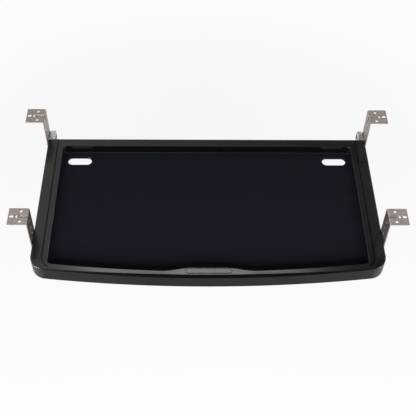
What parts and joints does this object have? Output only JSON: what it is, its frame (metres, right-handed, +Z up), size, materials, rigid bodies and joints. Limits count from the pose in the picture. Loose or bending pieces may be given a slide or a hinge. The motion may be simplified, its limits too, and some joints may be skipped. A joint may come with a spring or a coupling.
{
  "type": "under-desk keyboard tray",
  "caption": "Under-desk keyboard tray: black moulded drawer with a bowed front, on ball-bearing slides hung from steel L brackets with height-setting holes.",
  "frame": {"origin": "middle of the bracket pattern, in the plane of the flange tops, which is the underside of the desk top", "axes": "+X to the user's right, +Y away from the user, +Z up through the desk top"},
  "size_m": [0.577, 0.2969, 0.0791],
  "materials": {
    "tray_plastic": "black moulded plastic, satin on the rim and finely grained in the recess",
    "plate_plastic": "dark grey blank plate, satin gloss",
    "bracket_steel": "zinc plated sheet steel",
    "slide_steel": "bright zinc plated rolled steel",
    "fastener_steel": "zinc plated",
    "cage_steel": "pressed steel strip",
    "ball_steel": "polished hardened steel",
    "bumper_rubber": "black rubber"
  },
  "bodies": {
    "desk_frame": {"bracket_front_left": "bracket_steel", "bracket_front_right": "bracket_steel", "bracket_rear_left": "bracket_steel", "bracket_rear_right": "bracket_steel", "bracket_bolts_left": "fastener_steel", "bracket_bolts_right": "fastener_steel", "bracket_nuts_left": "fastener_steel", "bracket_nuts_right": "fastener_steel", "slide_channel_left": "slide_steel", "slide_channel_right": "slide_steel", "channel_bumper_left": "bumper_rubber", "channel_bumper_right": "bumper_rubber"},
    "cage_left": {"ball_cage_left": "cage_steel", "bearing_balls_left": "ball_steel"},
    "cage_right": {"ball_cage_right": "cage_steel", "bearing_balls_right": "ball_steel"},
    "drawer": {"tray_shell": "tray_plastic", "name_plate": "plate_plastic", "slide_runner_left": "slide_steel", "slide_runner_right": "slide_steel", "runner_screws_left": "fastener_steel", "runner_screws_right": "fastener_steel"}
  },
  "joints": [
    {"name": "drawer_slide", "type": "slide", "parent": "desk_frame", "child": "drawer", "axis": [0, -1, 0], "range_m": [0, 0.18]},
    {"name": "cage_left_slide", "type": "slide", "parent": "desk_frame", "child": "cage_left", "axis": [0, -1, 0], "range_m": [0, 0.09]},
    {"name": "cage_right_slide", "type": "slide", "parent": "desk_frame", "child": "cage_right", "axis": [0, -1, 0], "range_m": [0, 0.09]}
  ],
  "couplings": [
    {"joint": "cage_left_slide", "follows": "drawer_slide", "ratio": 0.5},
    {"joint": "cage_right_slide", "follows": "drawer_slide", "ratio": 0.5}
  ]
}
